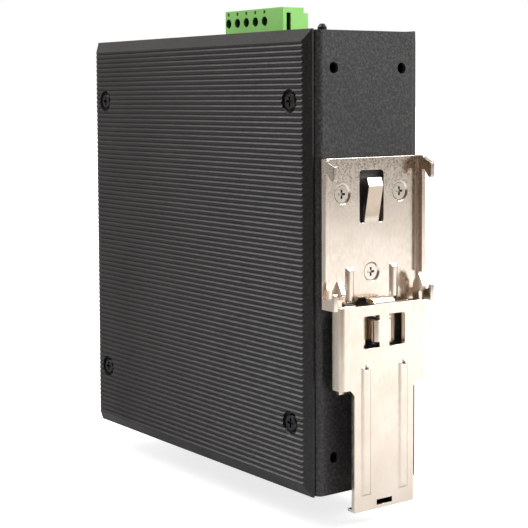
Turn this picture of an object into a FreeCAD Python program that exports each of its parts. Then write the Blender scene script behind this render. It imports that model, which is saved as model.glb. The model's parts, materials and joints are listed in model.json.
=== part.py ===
import FreeCAD, Part
import math
import os
import re
import Sketcher

# An industrial ethernet switch for a 35 mm top-hat rail. Grooved cooling covers
# close a folded steel case, and a sprung clip on the back holds the rail.
# The working frame below stands on the middle of the case's underside:
# X across the case, Y from the ports (front, -Y) to the clip (back, +Y), Z up.
# Every sub-part is then placed so that the origin lies at the middle of the rail seat.

SIZES = {
    # case
    "case_width": 43.7,
    "case_depth": 120.0,
    "case_height": 134.0,
    "sheet": 1.2,
    "fit_gap": 0.2,
    "bend": 1.3,
    # grooved covers
    "cover_rim": 0.55,
    "bevel": 2.25,
    "bevel_rise": 3.6,
    "groove_pitch": 1.565,
    "groove_width": 1.0,
    "groove_depth": 0.38,
    "groove_margin": 4.3,
    "cover_screw_side": 8.0,
    "cover_screw_end": 20.5,
    "cover_recess_radius": 3.5,
    "cover_recess_depth": 1.1,
    "cover_head_radius": 2.7,
    "cover_head_rise": 0.8,
    "screw_radius": 1.45,
    "thread_gap": 0.05,
    "drive_blade": 0.7,
    # folded steel case
    "wall_inset": 0.3,
    "panel_proud": 1.4,
    "end_inset": 0.3,
    "panel_hole_radius": 1.65,
    "panel_hole_side": 12.9,
    "panel_hole_end": 11.0,
    "lug_width": 9.0,
    "lug_length": 10.0,
    "lug_inset": 6.65,
    "frame_screw_radius": 0.95,
    "frame_head_radius": 1.35,
    "frame_head_rise": 2.0,
    # rail clip
    "rail_height": 75.5,
    "rail_gap": 35.2,
    "clip_sheet": 1.5,
    "clip_half": 19.2,
    "clip_bend": 1.0,
    "hook_wall": 4.2,
    "claw_wall": 3.2,
    "rail_seat": 3.7,
    "hook_reach": 7.5,
    "hook_bite": 2.2,
    "claw_bite": 1.7,
    "clip_screw_side": 11.0,
    "clip_screw_drop": 6.1,
    "clip_screw_rise": 6.1,
    "clip_mouth_radius": 2.95,
    "clip_head_radius": 2.4,
    "clip_head_face": 0.15,
    "tongue_half": 2.7,
    "tongue_drop": 14.7,
    "tongue_rise": 2.0,
    "window_half": 4.55,
    "window_height": 15.2,
    "rib_side": 8.4,
    "rib_width": 3.3,
    "rib_height": 0.8,
    "rib_rise": 8.0,
    "tail_half": 14.3,
    "tail_step": 2.5,
    "tail_slope": 3.4,
    "tail_length": 24.7,
    "tail_window_half": 4.6,
    "arch_half": 6.2,
    "arch_rise": 1.8,
    "spring_drop": 19.7,
    "spring_nib": 2.5,
    # release slider
    "slider_half": 16.2,
    "slider_face": 7.15,
    "slider_back": 3.0,
    "slider_lap": 0.5,
    "slider_length": 59.2,
    "shoulder_drop": 23.7,
    "slide_gap": 0.3,
    "ear_rise": 4.9,
    "ear_nose": 1.0,
    "pull_half": 11.3,
    "pull_lip": 3.2,
    "pull_slot_half": 2.95,
    "pull_slot_height": 1.5,
    "flap_inner": 1.85,
    "flap_outer": 7.9,
    "flap_drop": 12.3,
    "flap_window": 9.3,
    "flap_relief": 1.5,
    "flap_foot_reach": 2.5,
    "tab_half": 4.0,
    "tab_rise": 1.6,
    "slider_rib_side": 7.1,
    "slider_rib_width": 3.6,
    "slider_rib_height": 0.55,
    "slider_rib_drop": 17.2,
    "slider_rib_end": 4.5,
    "dimple_radius": 0.55,
    "spring_radius": 1.2,
    "spring_wire": 0.45,
    "spring_coils": 8,
    # board and what it carries
    "board": 1.6,
    "standoff": 3.0,
    "standoff_radius": 2.75,
    "board_margin": 4.0,
    "board_front_gap": 4.2,
    "board_back_gap": 5.6,
    "board_hole_side": 6.0,
    "port_count": 5,
    "port_pitch": 17.6,
    "port_low": 20.0,
    "jack_width": 16.0,
    "jack_height": 13.5,
    "jack_length": 21.3,
    "jack_cavity": 14.5,
    "jack_floor": 1.6,
    "plug_room": 6.9,
    "plug_width": 11.8,
    "latch_step": 1.6,
    "latch_notch": 2.9,
    "contact_pitch": 1.02,
    "contact_size": 0.35,
    "contact_rise": 1.7,
    "contact_setback": 3.0,
    "led_gap": 3.0,
    "led_pitch": 5.0,
    "led_radius": 1.5,
    "led_height": 4.5,
    "led_holder": 4.4,
    "led_holder_length": 5.0,
    "led_dome": 0.8,
    "chip": 20.0,
    "chip_rise": 1.4,
    "chip_front": -10.0,
    "chip_low": 56.0,
    "pad_margin": 2.0,
    "crystal_width": 3.0,
    "crystal_length": 5.0,
    "crystal_rise": 1.0,
    "capacitor_radius": 5.0,
    "capacitor_length": 12.5,
    "capacitor_front": 34.0,
    "capacitor_low": 108.0,
    "capacitor_pitch": 12.0,
    "coil": 12.0,
    "coil_rise": 6.0,
    "coil_front": 28.0,
    "coil_low": 84.0,
    "relay_length": 15.0,
    "relay_width": 11.0,
    "relay_rise": 10.0,
    "relay_front": 0.0,
    "relay_low": 88.0,
    # screw terminals on top
    "pole_pitch": 5.0,
    "pole_count": 5,
    "plug_start": -16.6,
    "plug_length": 31.6,
    "first_pole": 1.85,
    "plug_face": -4.6,
    "plug_depth": 8.6,
    "plug_top": 9.6,
    "plug_ledge": 1.8,
    "plug_ledge_drop": 1.7,
    "plug_tongue": 8.0,
    "plug_screw_radius": 1.5,
    "plug_screw_drop": 4.2,
    "plug_mark_drop": 1.2,
    "wire_width": 3.0,
    "wire_depth": 7.0,
    "key_side": 2.4,
    "key_width": 1.6,
    "key_drop": 1.8,
    "key_height": 5.6,
    "header_wall": 0.9,
    "header_floor": 3.0,
    "header_depth": 9.35,
    "pin": 1.0,
    "pin_length": 6.0,
}

doc = FreeCAD.newDocument("RailSwitch")
sheet = doc.addObject("Spreadsheet::Sheet", "Sizes")
for row, (alias, number) in enumerate(SIZES.items(), start=1):
    sheet.set(f"A{row}", alias.replace("_", " "))
    sheet.set(f"B{row}", str(number))
    sheet.setAlias(f"B{row}", alias)
doc.recompute()

# Places that several pieces share, as expressions of the sheet's cells.
PANEL = "(case_depth / 2 + panel_proud)"
WALL = "(case_width / 2 - cover_rim - bevel - wall_inset)"
CASE_TOP = "(case_height - end_inset)"
BOARD_BACK = f"(-({WALL}) + sheet + standoff)"
BOARD_FACE = f"({BOARD_BACK} + board)"
RAIL_TOP = "(rail_height + rail_gap / 2)"
RAIL_FOOT = "(rail_height - rail_gap / 2)"
CLIP_TOP = f"({RAIL_TOP} + hook_wall)"
CLIP_FOOT = f"({RAIL_FOOT} - claw_wall)"
TAIL_BEND = f"({CLIP_FOOT} - tail_slope)"
SPRING_SEAT = f"({CLIP_FOOT} - spring_drop)"
EAR_TOP = f"({RAIL_FOOT} + ear_rise)"
SLIDER_TOP = f"({CLIP_FOOT} + slider_lap)"
SHOULDER = f"({SLIDER_TOP} - shoulder_drop)"
PULL_FOOT = f"({SLIDER_TOP} - slider_length)"
FLAP_FOOT = f"({SLIDER_TOP} - flap_drop)"
TAB_TOP = f"({SLIDER_TOP} + tab_rise)"
SCREW_LOW = "cover_screw_end"
SCREW_HIGH = "(case_height - cover_screw_end)"
SCREW_BACK = "(case_depth / 2 - cover_screw_side)"
CLIP_SCREWS = (
    ("-clip_screw_side", f"({RAIL_TOP} - clip_screw_drop)"),
    ("clip_screw_side", f"({RAIL_TOP} - clip_screw_drop)"),
    ("0", f"({RAIL_FOOT} + clip_screw_rise)"),
)
PANEL_HOLES = (
    ("-panel_hole_side", "panel_hole_end"),
    ("panel_hole_side", "panel_hole_end"),
    ("-panel_hole_side", "case_height - panel_hole_end"),
    ("panel_hole_side", "case_height - panel_hole_end"),
)
nodes = []


def linked(text):
    """An expression with each size's name pointed at its cell in the sheet."""
    return re.sub(r"[a-z]\w*", lambda word: cell_name(word.group()), text)


def cell_name(word):
    return f"Sizes.{word}" if word in SIZES else word


def number(text):
    """What an expression comes to with the sheet's values."""
    return float(sheet.evalExpression(linked(text)))


def bind(thing, **expressions):
    for name, text in expressions.items():
        thing.setExpression(name.replace("__", "."), linked(text))


def place(thing, x="0", y="0", z="0"):
    bind(thing, Placement__Base__x=x)
    bind(thing, Placement__Base__y=y)
    bind(thing, Placement__Base__z=z)


def keep(thing, label):
    """Name a sub-part and move it from the case's frame to the rail seat's frame."""
    thing.Label = label
    place(thing, "0", f"-({PANEL} + rail_seat)", "-rail_height")
    nodes.append(thing)
    return thing


# ---- PartDesign helpers ----------------------------------------------------

def new_body(name):
    return doc.addObject("PartDesign::Body", name + "_body")


def origin_feature(body, role):
    return next(item for item in body.Origin.OriginFeatures if item.Role == role)


def new_sketch(body, plane, height):
    """A sketch on one of the body's own planes, moved along that plane's normal.

    The normals are +Z for XY, -Y for XZ and +X for YZ.
    """
    sketch = body.newObject("Sketcher::SketchObject", "Sketch")
    sketch.AttachmentSupport = [(origin_feature(body, plane + "_Plane"), "")]
    sketch.MapMode = "FlatFace"
    bind(sketch, AttachmentOffset__Base__z=height)
    return sketch


def pin_point(sketch, shape_index, point_index, across, up):
    for kind, text in (("DistanceX", across), ("DistanceY", up)):
        rule = Sketcher.Constraint(kind, -1, 1, shape_index, point_index, number(text))
        row = sketch.addConstraint(rule)
        sketch.setExpression(f"Constraints[{row}]", linked(text))


def polygon_sketch(body, plane, height, corners):
    """A closed outline whose every corner is dimensioned from the sketch's origin."""
    sketch = new_sketch(body, plane, height)
    places = [FreeCAD.Vector(number(across), number(up), 0) for across, up in corners]
    for index, start in enumerate(places):
        sketch.addGeometry(Part.LineSegment(start, places[(index + 1) % len(places)]), False)
    for index, (across, up) in enumerate(corners):
        following = (index + 1) % len(corners)
        sketch.addConstraint(Sketcher.Constraint("Coincident", index, 2, following, 1))
        pin_point(sketch, index, 1, across, up)
    return sketch


def circle_sketch(body, plane, height, centres, radius):
    sketch = new_sketch(body, plane, height)
    for index, (across, up) in enumerate(centres):
        middle = FreeCAD.Vector(number(across), number(up), 0)
        sketch.addGeometry(Part.Circle(middle, FreeCAD.Vector(0, 0, 1), number(radius)), False)
        pin_point(sketch, index, 3, across, up)
        row = sketch.addConstraint(Sketcher.Constraint("Radius", index, number(radius)))
        sketch.setExpression(f"Constraints[{row}]", linked(radius))
    return sketch


def rectangle(left, right, low, high):
    return [(left, low), (right, low), (right, high), (left, high)]


def pad(body, sketch, length, reverse=False):
    feature = body.newObject("PartDesign::Pad", "Pad")
    feature.Profile = sketch
    feature.Reversed = reverse
    bind(feature, Length=length)
    doc.recompute()
    return feature


def pocket(body, sketch, length, reverse=False):
    """Cut along the sketch's normal, or against it when reversed."""
    before = body.Shape.Volume
    feature = body.newObject("PartDesign::Pocket", "Pocket")
    feature.Profile = sketch
    feature.Reversed = not reverse
    bind(feature, Length=length)
    doc.recompute()
    if body.Shape.Volume >= before:
        raise ValueError(f"{body.Name}: {feature.Name} cuts nothing")
    return feature


def cone_cut(body, x, y, z, turn, radii, depth):
    """A countersink: radii are those at its seat and at its mouth."""
    feature = body.newObject("PartDesign::SubtractiveCone", "Countersink")
    bind(feature, Radius1=radii[0], Radius2=radii[1], Height=depth)
    feature.Placement = FreeCAD.Placement(FreeCAD.Vector(), turn)
    place(feature, x, y, z)
    doc.recompute()
    return feature


def round_edges(body, radius, chosen):
    """Fillet the edges of the body that the test picks out."""
    doc.recompute()
    base = body.Tip
    names = [f"Edge{row}" for row, edge in enumerate(base.Shape.Edges, start=1) if chosen(edge)]
    if not names:
        raise ValueError(f"{body.Name}: no edge to round")
    feature = body.newObject("PartDesign::Fillet", "Fillet")
    feature.Base = (base, names)
    bind(feature, Radius=radius)
    doc.recompute()
    return feature


def upright_at(x, y):
    """A test for vertical edges at a place in the plan view."""
    def test(edge):
        ends = [vertex.Point for vertex in edge.Vertexes]
        if len(ends) != 2 or abs(ends[0].z - ends[1].z) < 1:
            return False
        return all(math.hypot(end.x - x, end.y - y) < 0.01 for end in ends)
    return test


def crosswise_at(x, z):
    """A test for edges along Y at a place in the front view."""
    def test(edge):
        ends = [vertex.Point for vertex in edge.Vertexes]
        if len(ends) != 2 or abs(ends[0].y - ends[1].y) < 0.5:
            return False
        return all(math.hypot(end.x - x, end.z - z) < 0.01 for end in ends)
    return test


def any_of(*tests):
    return lambda edge: any(test(edge) for test in tests)


# ---- Part helpers ----------------------------------------------------------

def box(x, y, z):
    """A block between three pairs of expressions."""
    block = doc.addObject("Part::Box", "Block")
    bind(block, Length=f"({x[1]}) - ({x[0]})", Width=f"({y[1]}) - ({y[0]})")
    bind(block, Height=f"({z[1]}) - ({z[0]})")
    place(block, x[0], y[0], z[0])
    return block


TURNS = {
    "+X": FreeCAD.Rotation(FreeCAD.Vector(0, 1, 0), 90),
    "-X": FreeCAD.Rotation(FreeCAD.Vector(0, 1, 0), -90),
    "+Y": FreeCAD.Rotation(FreeCAD.Vector(1, 0, 0), -90),
    "-Y": FreeCAD.Rotation(FreeCAD.Vector(1, 0, 0), 90),
    "+Z": FreeCAD.Rotation(),
    "-Z": FreeCAD.Rotation(FreeCAD.Vector(1, 0, 0), 180),
}


def rod(direction, start, radius, length):
    post = doc.addObject("Part::Cylinder", "Rod")
    bind(post, Radius=radius, Height=length)
    post.Placement = FreeCAD.Placement(FreeCAD.Vector(), TURNS[direction])
    place(post, *start)
    return post


def taper(direction, start, radii, length):
    post = doc.addObject("Part::Cone", "Taper")
    bind(post, Radius1=radii[0], Radius2=radii[1], Height=length)
    post.Placement = FreeCAD.Placement(FreeCAD.Vector(), TURNS[direction])
    place(post, *start)
    return post


def fused(pieces):
    union = doc.addObject("Part::MultiFuse", "Union")
    union.Shapes = pieces
    return union


def gathered(pieces):
    """Separate solids kept together as one sub-part."""
    group = doc.addObject("Part::Compound", "Group")
    group.Links = pieces
    return group


def less(base, tools):
    cut = doc.addObject("Part::Cut", "Less")
    cut.Base = base
    cut.Tool = tools[0] if len(tools) == 1 else fused(tools)
    return cut


AXIS_AND_WAY = {"+X": (0, "+"), "-X": (0, "-"), "+Y": (1, "+"), "-Y": (1, "-"),
                "+Z": (2, "+"), "-Z": (2, "-")}
OPPOSITE = {"+X": "-X", "-X": "+X", "+Y": "-Y", "-Y": "+Y", "+Z": "-Z", "-Z": "+Z"}


def along(start, direction, distance):
    """The point at a distance from the start in one of the six directions."""
    axis, way = AXIS_AND_WAY[direction]
    point = list(start)
    point[axis] = f"(({start[axis]}) {way} ({distance}))"
    return point


def cross_slot(direction, centre, size, depth):
    """The tool that sinks a cross drive into a head whose face is at the centre."""
    axis = AXIS_AND_WAY[direction][0]
    foot = along(centre, OPPOSITE[direction], depth)
    sunk = sorted((foot[axis], centre[axis]), key=number)
    blades = []
    for long_axis in {0, 1, 2} - {axis}:
        spans = [(f"{middle} - drive_blade / 2", f"{middle} + drive_blade / 2") for middle in centre]
        spans[long_axis] = (f"{centre[long_axis]} - ({size}) / 2", f"{centre[long_axis]} + ({size}) / 2")
        spans[axis] = sunk
        blades.append(box(*spans))
    return fused(blades)


# ---- case ------------------------------------------------------------------

def cover(name, side):
    """A cast cooling cover: a bevelled plate with grooves along its outer face."""
    body = new_body(name)
    sign = "" if side > 0 else "-"
    inner = "(case_width / 2 - cover_rim - bevel)"
    rim = "(case_width / 2 - bevel)"
    half = "case_depth / 2"
    plate = polygon_sketch(body, "XY", "0", [
        (f"{sign}{inner}", f"-{half}"),
        (f"{sign}{rim}", f"-{half}"),
        (f"{sign}case_width / 2", f"-({half} - bevel)"),
        (f"{sign}case_width / 2", f"{half} - bevel"),
        (f"{sign}{rim}", f"{half}"),
        (f"{sign}{inner}", f"{half}"),
    ])
    pad(body, plate, "case_height")
    for low, high in (("0", "bevel_rise"), ("case_height", "case_height - bevel_rise")):
        end_bevel = polygon_sketch(body, "XZ", f"-{half}", [
            (f"{sign}{rim}", low),
            (f"{sign}case_width / 2", low),
            (f"{sign}case_width / 2", high),
        ])
        pocket(body, end_bevel, "case_depth")
    rows = "floor((case_height - 2 * groove_margin) / groove_pitch)"
    start = f"(case_height - {rows} * groove_pitch) / 2"
    vee = polygon_sketch(body, "XZ", f"-{half}", [
        (f"{sign}case_width / 2", f"{start} - groove_width / 2"),
        (f"{sign}case_width / 2", f"{start} + groove_width / 2"),
        (f"{sign}(case_width / 2 - groove_depth)", start),
    ])
    groove = pocket(body, vee, "case_depth")
    grooves = body.newObject("PartDesign::LinearPattern", "Grooves")
    grooves.Originals = [groove]
    grooves.Direction = (origin_feature(body, "Z_Axis"), [""])
    bind(grooves, Length=f"{rows} * groove_pitch", Occurrences=f"{rows} + 1")
    body.Tip = grooves
    doc.recompute()
    places = [(y, z) for y in (f"-{SCREW_BACK}", SCREW_BACK) for z in (SCREW_LOW, SCREW_HIGH)]
    face = f"{sign}case_width / 2"
    recess = circle_sketch(body, "YZ", face, places, "cover_recess_radius")
    pocket(body, recess, "cover_recess_depth", reverse=side > 0)
    bore = circle_sketch(body, "YZ", face, places, "screw_radius + 4 * thread_gap")
    pocket(body, bore, "cover_rim + bevel", reverse=side > 0)
    return keep(body, name)


def rear_chassis():
    """One folded sheet: the back panel, both side walls and two fixing lugs."""
    body = new_body("rear_chassis")
    front = "-(case_depth / 2 - 2 * sheet)"
    plan = polygon_sketch(body, "XY", "end_inset", [
        (f"-{WALL}", front),
        (f"-{WALL}", PANEL),
        (WALL, PANEL),
        (WALL, front),
        (f"{WALL} - sheet", front),
        (f"{WALL} - sheet", f"{PANEL} - sheet"),
        (f"-{WALL} + sheet", f"{PANEL} - sheet"),
        (f"-{WALL} + sheet", front),
    ])
    pad(body, plan, "case_height - 2 * end_inset")
    corners = [(x, number(PANEL)) for x in (number(WALL), -number(WALL))]
    round_edges(body, "bend + sheet / 2", any_of(*[upright_at(x, y) for x, y in corners]))
    inside = number(f"{PANEL} - sheet")
    corners = [(x, inside) for x in (number(f"{WALL} - sheet"), -number(f"{WALL} - sheet"))]
    round_edges(body, "bend / 2", any_of(*[upright_at(x, y) for x, y in corners]))
    for low in (f"{CASE_TOP} - 2 * sheet - fit_gap", "end_inset + sheet + fit_gap"):
        lug = polygon_sketch(body, "XY", low, rectangle(
            f"{LUG_X} - lug_width / 2", f"{LUG_X} + lug_width / 2",
            f"{PANEL} - sheet - lug_length", f"{PANEL} - sheet / 2"))
        pad(body, lug, "sheet")
    lug_bore = circle_sketch(body, "XY", "0", [(LUG_X, FRAME_SCREW_Y)],
                             "frame_screw_radius + thread_gap")
    pocket(body, lug_bore, "case_height")
    holes = circle_sketch(body, "XZ", f"-{PANEL}", PANEL_HOLES, "panel_hole_radius")
    pocket(body, holes, "2 * sheet")
    screws = circle_sketch(body, "XZ", f"-{PANEL}", CLIP_SCREWS, THREAD)
    pocket(body, screws, "2 * sheet")
    wall_screws = [(y, z) for y in (f"-{SCREW_BACK}", SCREW_BACK) for z in (SCREW_LOW, SCREW_HIGH)]
    side_bores = circle_sketch(body, "YZ", f"-{WALL}", wall_screws, THREAD)
    pocket(body, side_bores, f"2 * {WALL}", reverse=False)
    return keep(body, "rear_chassis")


THREAD = "screw_radius + thread_gap"
LUG_X = f"({WALL} - lug_inset)"
FRAME_SCREW_Y = f"({PANEL} - sheet - lug_length / 2)"
PORT_CENTRE = "(port_low + {0} * port_pitch)"
LED_CENTRE = "(port_low + port_count * port_pitch - led_gap + {0} * led_pitch)"
LED_X = f"({BOARD_FACE} + led_height)"
JACK_LOW = f"({BOARD_FACE} + fit_gap / 2)"
JACK_FLOOR = f"({JACK_LOW} + jack_floor)"


def front_frame():
    """The second folded sheet: the port panel with the top and bottom plates."""
    body = new_body("front_frame")
    inside = f"{WALL} - sheet - fit_gap"
    back = f"({PANEL} - sheet - fit_gap - bend / 2)"
    side_view = polygon_sketch(body, "YZ", f"-({inside})", [
        (f"-{PANEL}", "end_inset"),
        (back, "end_inset"),
        (back, "end_inset + sheet"),
        (f"-({PANEL} - sheet)", "end_inset + sheet"),
        (f"-({PANEL} - sheet)", f"{CASE_TOP} - sheet"),
        (back, f"{CASE_TOP} - sheet"),
        (back, CASE_TOP),
        (f"-{PANEL}", CASE_TOP),
    ])
    pad(body, side_view, f"2 * ({inside})")
    panel_ends = polygon_sketch(body, "XZ", f"{PANEL} - sheet", rectangle(
        f"-{WALL}", WALL, "end_inset", CASE_TOP))
    pad(body, panel_ends, "sheet")
    ports = int(number("port_count"))
    for index in range(ports):
        middle = PORT_CENTRE.format(index)
        cutout = polygon_sketch(body, "XZ", f"{PANEL} - 2 * sheet", rectangle(
            f"{JACK_LOW} - fit_gap", f"{JACK_LOW} + jack_height + fit_gap",
            f"{middle} - jack_width / 2 - fit_gap", f"{middle} + jack_width / 2 + fit_gap"))
        pocket(body, cutout, "3 * sheet")
    lamps = circle_sketch(body, "XZ", f"{PANEL} - 2 * sheet",
                          [(LED_X, LED_CENTRE.format(index)) for index in range(3)],
                          "led_radius + fit_gap")
    pocket(body, lamps, "3 * sheet")
    slot = polygon_sketch(body, "XY", f"{CASE_TOP} - 2 * sheet", rectangle(
        f"{HEADER_X[0]} - fit_gap", f"{HEADER_X[1]} + fit_gap",
        "plug_start - header_wall - fit_gap",
        "plug_start + plug_length + header_wall + fit_gap"))
    pocket(body, slot, "3 * sheet")
    bores = circle_sketch(body, "XY", "0", [(LUG_X, FRAME_SCREW_Y)],
                          "frame_screw_radius + 4 * thread_gap")
    pocket(body, bores, "case_height")
    return keep(body, "front_frame")


HEADER_X = (BOARD_FACE, f"({BOARD_FACE} + header_depth)")


def pan_screw(direction, seat, head, length):
    """A cross-drive screw with a slightly coned head that rests at the seat."""
    radius, rise = head
    cap = taper(direction, seat, (radius, f"({radius}) * 0.8"), rise)
    shank = rod(OPPOSITE[direction], seat, "screw_radius", length)
    drive = cross_slot(direction, along(seat, direction, rise), f"({radius}) * 1.1", f"({rise}) * 0.7")
    return less(fused([cap, shank]), [drive])


def cover_screws():
    seat = "(case_width / 2 - cover_recess_depth)"
    reach = f"{seat} - {WALL} + sheet + 1"
    screws = []
    for direction, sign in (("+X", ""), ("-X", "-")):
        for y in (f"-{SCREW_BACK}", SCREW_BACK):
            for z in (SCREW_LOW, SCREW_HIGH):
                place_at = (f"{sign}{seat}", y, z)
                head = ("cover_head_radius", "cover_head_rise")
                screws.append(pan_screw(direction, place_at, head, reach))
    keep(gathered(screws), "cover_screws")


def frame_screws():
    """Tall-headed screws, one through the top plate and one through the bottom."""
    length = "3 * sheet + fit_gap"
    screws = []
    for direction, z in (("+Z", CASE_TOP), ("-Z", "end_inset")):
        seat = (LUG_X, FRAME_SCREW_Y, z)
        head = rod(direction, seat, "frame_head_radius", "frame_head_rise / 2")
        neck = along(seat, direction, "frame_head_rise / 2")
        dome = taper(direction, neck, ("frame_head_radius", "frame_head_radius / 2"),
                     "frame_head_rise / 2")
        shank = rod(OPPOSITE[direction], seat, "frame_screw_radius", length)
        screws.append(fused([head, dome, shank]))
    keep(gathered(screws), "frame_screws")


# ---- rail clip -------------------------------------------------------------

def clip_y(distance):
    """A distance out from the back panel's face."""
    return f"({PANEL} + {distance})"


def rib(body, x, spans, surface, width, height):
    """A pressed rib with sloping sides, raised on the outside and hollow behind."""
    foot, top = spans
    outline = rectangle(f"{x} - {width} / 2", f"{x} + {width} / 2", foot, top)
    raised = polygon_sketch(body, "XZ", f"-{surface}", outline)
    feature = pad(body, raised, height, reverse=True)
    feature.TaperAngle = -45
    doc.recompute()
    wall = "clip_sheet / 2"
    hollow = polygon_sketch(body, "XZ", f"-({surface} - clip_sheet)", rectangle(
        f"{x} - {width} / 2 + {wall}", f"{x} + {width} / 2 - {wall}",
        f"{foot} + {wall}", f"{top} - {wall}"))
    pocket(body, hollow, height, reverse=True)


def bracket_fold(body):
    """The plate and its two flanges, folded from one sheet."""
    plan = polygon_sketch(body, "XY", CLIP_FOOT, [
        ("-clip_half", clip_y("0")),
        ("clip_half", clip_y("0")),
        ("clip_half", clip_y("hook_reach")),
        ("clip_half - clip_sheet", clip_y("hook_reach")),
        ("clip_half - clip_sheet", clip_y("clip_sheet")),
        ("-(clip_half - clip_sheet)", clip_y("clip_sheet")),
        ("-(clip_half - clip_sheet)", clip_y("hook_reach")),
        ("-clip_half", clip_y("hook_reach")),
    ])
    pad(body, plan, f"{CLIP_TOP} - {CLIP_FOOT}")
    half = number("clip_half")
    back = number(clip_y("0"))
    outer = [upright_at(x, back) for x in (half, -half)]
    round_edges(body, "clip_bend + clip_sheet", any_of(*outer))
    within = number("clip_half - clip_sheet")
    face = number(clip_y("clip_sheet"))
    inner = [upright_at(x, face) for x in (within, -within)]
    round_edges(body, "clip_bend", any_of(*inner))


def bracket_jaws(body):
    """Cut both flanges to hooks over the rail and claws under it, seen from the side."""
    clear = clip_y("(hook_reach + 1)")
    tip = f"({RAIL_TOP} - hook_bite)"
    claw = f"({RAIL_FOOT} + claw_bite)"
    jaws = polygon_sketch(body, "YZ", "-clip_half", [
        (clear, f"{tip} + 0.5"),
        (clip_y("hook_reach"), f"{tip} + 0.5"),
        (clip_y("hook_reach - 0.6"), tip),
        (clip_y("hook_reach - 1.3"), f"{tip} + 0.4"),
        (clip_y("rail_seat + 1.1"), RAIL_TOP),
        (clip_y("rail_seat"), RAIL_TOP),
        (clip_y("rail_seat"), EAR_TOP),
        (clip_y("rail_seat - 1.2"), EAR_TOP),
        (clip_y("rail_seat - 1.2"), RAIL_FOOT),
        (clip_y("hook_reach - 1.3"), RAIL_FOOT),
        (clip_y("hook_reach - 0.9"), claw),
        (clip_y("hook_reach - 0.4"), claw),
        (clip_y("hook_reach"), f"{claw} - claw_bite / 2"),
        (clear, f"{claw} - claw_bite / 2"),
    ])
    pocket(body, jaws, "2 * clip_half")
    brow = polygon_sketch(body, "YZ", "-clip_half", [
        (clip_y("hook_reach - 3.5"), CLIP_TOP),
        (clip_y("hook_reach - 3.5"), f"{CLIP_TOP} - 0.4"),
        (clip_y("hook_reach"), f"{CLIP_TOP} - 2"),
        (clip_y("hook_reach"), CLIP_TOP),
    ])
    pocket(body, brow, "2 * clip_half")


def bracket_tail(body):
    """The stepped tail behind the slider, its window, its arch and the spring's seat."""
    inner = clip_y("tail_step")
    outer = clip_y("(tail_step + clip_sheet)")
    tail = polygon_sketch(body, "YZ", "-tail_half", [
        (clip_y("0"), f"{CLIP_FOOT} + 1"),
        (clip_y("0"), f"{TAIL_BEND} + tail_step"),
        (inner, TAIL_BEND),
        (inner, f"{CLIP_FOOT} - tail_length"),
        (outer, f"{CLIP_FOOT} - tail_length"),
        (outer, f"{TAIL_BEND} + clip_sheet / 2"),
        (clip_y("clip_sheet"), f"{TAIL_BEND} + tail_step + clip_sheet / 2"),
        (clip_y("clip_sheet"), f"{CLIP_FOOT} + 1"),
    ])
    pad(body, tail, "2 * tail_half")
    corner = "1.2"
    arch = polygon_sketch(body, "XZ", f"-{outer}", [
        ("-arch_half", TAIL_BEND),
        ("arch_half", TAIL_BEND),
        ("arch_half", f"{CLIP_FOOT} + arch_rise - {corner}"),
        (f"arch_half - {corner}", f"{CLIP_FOOT} + arch_rise"),
        (f"-(arch_half - {corner})", f"{CLIP_FOOT} + arch_rise"),
        ("-arch_half", f"{CLIP_FOOT} + arch_rise - {corner}"),
    ])
    pocket(body, arch, "tail_step + clip_sheet")
    nib = "(spring_radius - 1.5 * spring_wire)"
    window = polygon_sketch(body, "XZ", f"-{outer}", [
        ("-tail_window_half", SPRING_SEAT),
        (f"-{nib}", SPRING_SEAT),
        (f"-{nib}", f"{SPRING_SEAT} + spring_nib"),
        (nib, f"{SPRING_SEAT} + spring_nib"),
        (nib, SPRING_SEAT),
        ("tail_window_half", SPRING_SEAT),
        ("tail_window_half", f"{TAIL_BEND} + 0.4"),
        ("-tail_window_half", f"{TAIL_BEND} + 0.4"),
    ])
    pocket(body, window, "tail_step + clip_sheet")


def bracket_tongue(body):
    """A leaf lanced out of the plate that leans out and presses on the rail."""
    foot = f"({RAIL_TOP} - tongue_drop)"
    face = clip_y("clip_sheet")
    opening = polygon_sketch(body, "XZ", f"-{face}", rectangle(
        "-window_half", "window_half", foot, f"{foot} + window_height"))
    pocket(body, opening, "clip_sheet")
    half = number("window_half")
    corners = [crosswise_at(x, z) for x in (half, -half)
               for z in (number(foot), number(f"{foot} + window_height"))]
    round_edges(body, "clip_sheet * 0.6", any_of(*corners))
    leaf = polygon_sketch(body, "YZ", "-tongue_half", [
        (clip_y("0"), f"{foot} - 0.5"),
        (face, f"{foot} - 0.5"),
        (face, f"{foot} + 0.6"),
        (clip_y("(clip_sheet + tongue_rise)"), f"{foot} + 0.7 * window_height"),
        (clip_y("(clip_sheet + tongue_rise - 0.9)"), f"{foot} + 0.86 * window_height"),
        (clip_y("(tongue_rise - 0.6)"), f"{foot} + 0.84 * window_height"),
        (clip_y("tongue_rise"), f"{foot} + 0.69 * window_height"),
        (clip_y("0"), f"{foot} + 0.6"),
    ])
    pad(body, leaf, "2 * tongue_half")


def rail_bracket():
    """The fixed half of the rail clip, one folded and pierced sheet."""
    body = new_body("rail_bracket")
    bracket_fold(body)
    bracket_jaws(body)
    bracket_tail(body)
    for x in ("(-rib_side)", "rib_side"):
        spans = (f"{CLIP_FOOT} + 0.4", f"{RAIL_FOOT} + rib_rise")
        rib(body, x, spans, clip_y("clip_sheet"), "rib_width", "rib_height")
    bracket_tongue(body)
    face = clip_y("clip_sheet")
    hole = "screw_radius + 4 * thread_gap"
    pocket(body, circle_sketch(body, "XZ", f"-{face}", CLIP_SCREWS, hole), "clip_sheet")
    for x, z in CLIP_SCREWS:
        cone_cut(body, x, clip_y("clip_head_face"), z, TURNS["+Y"],
                 (hole, "clip_mouth_radius"), "clip_sheet - clip_head_face")
    return keep(body, "rail_bracket")


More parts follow.
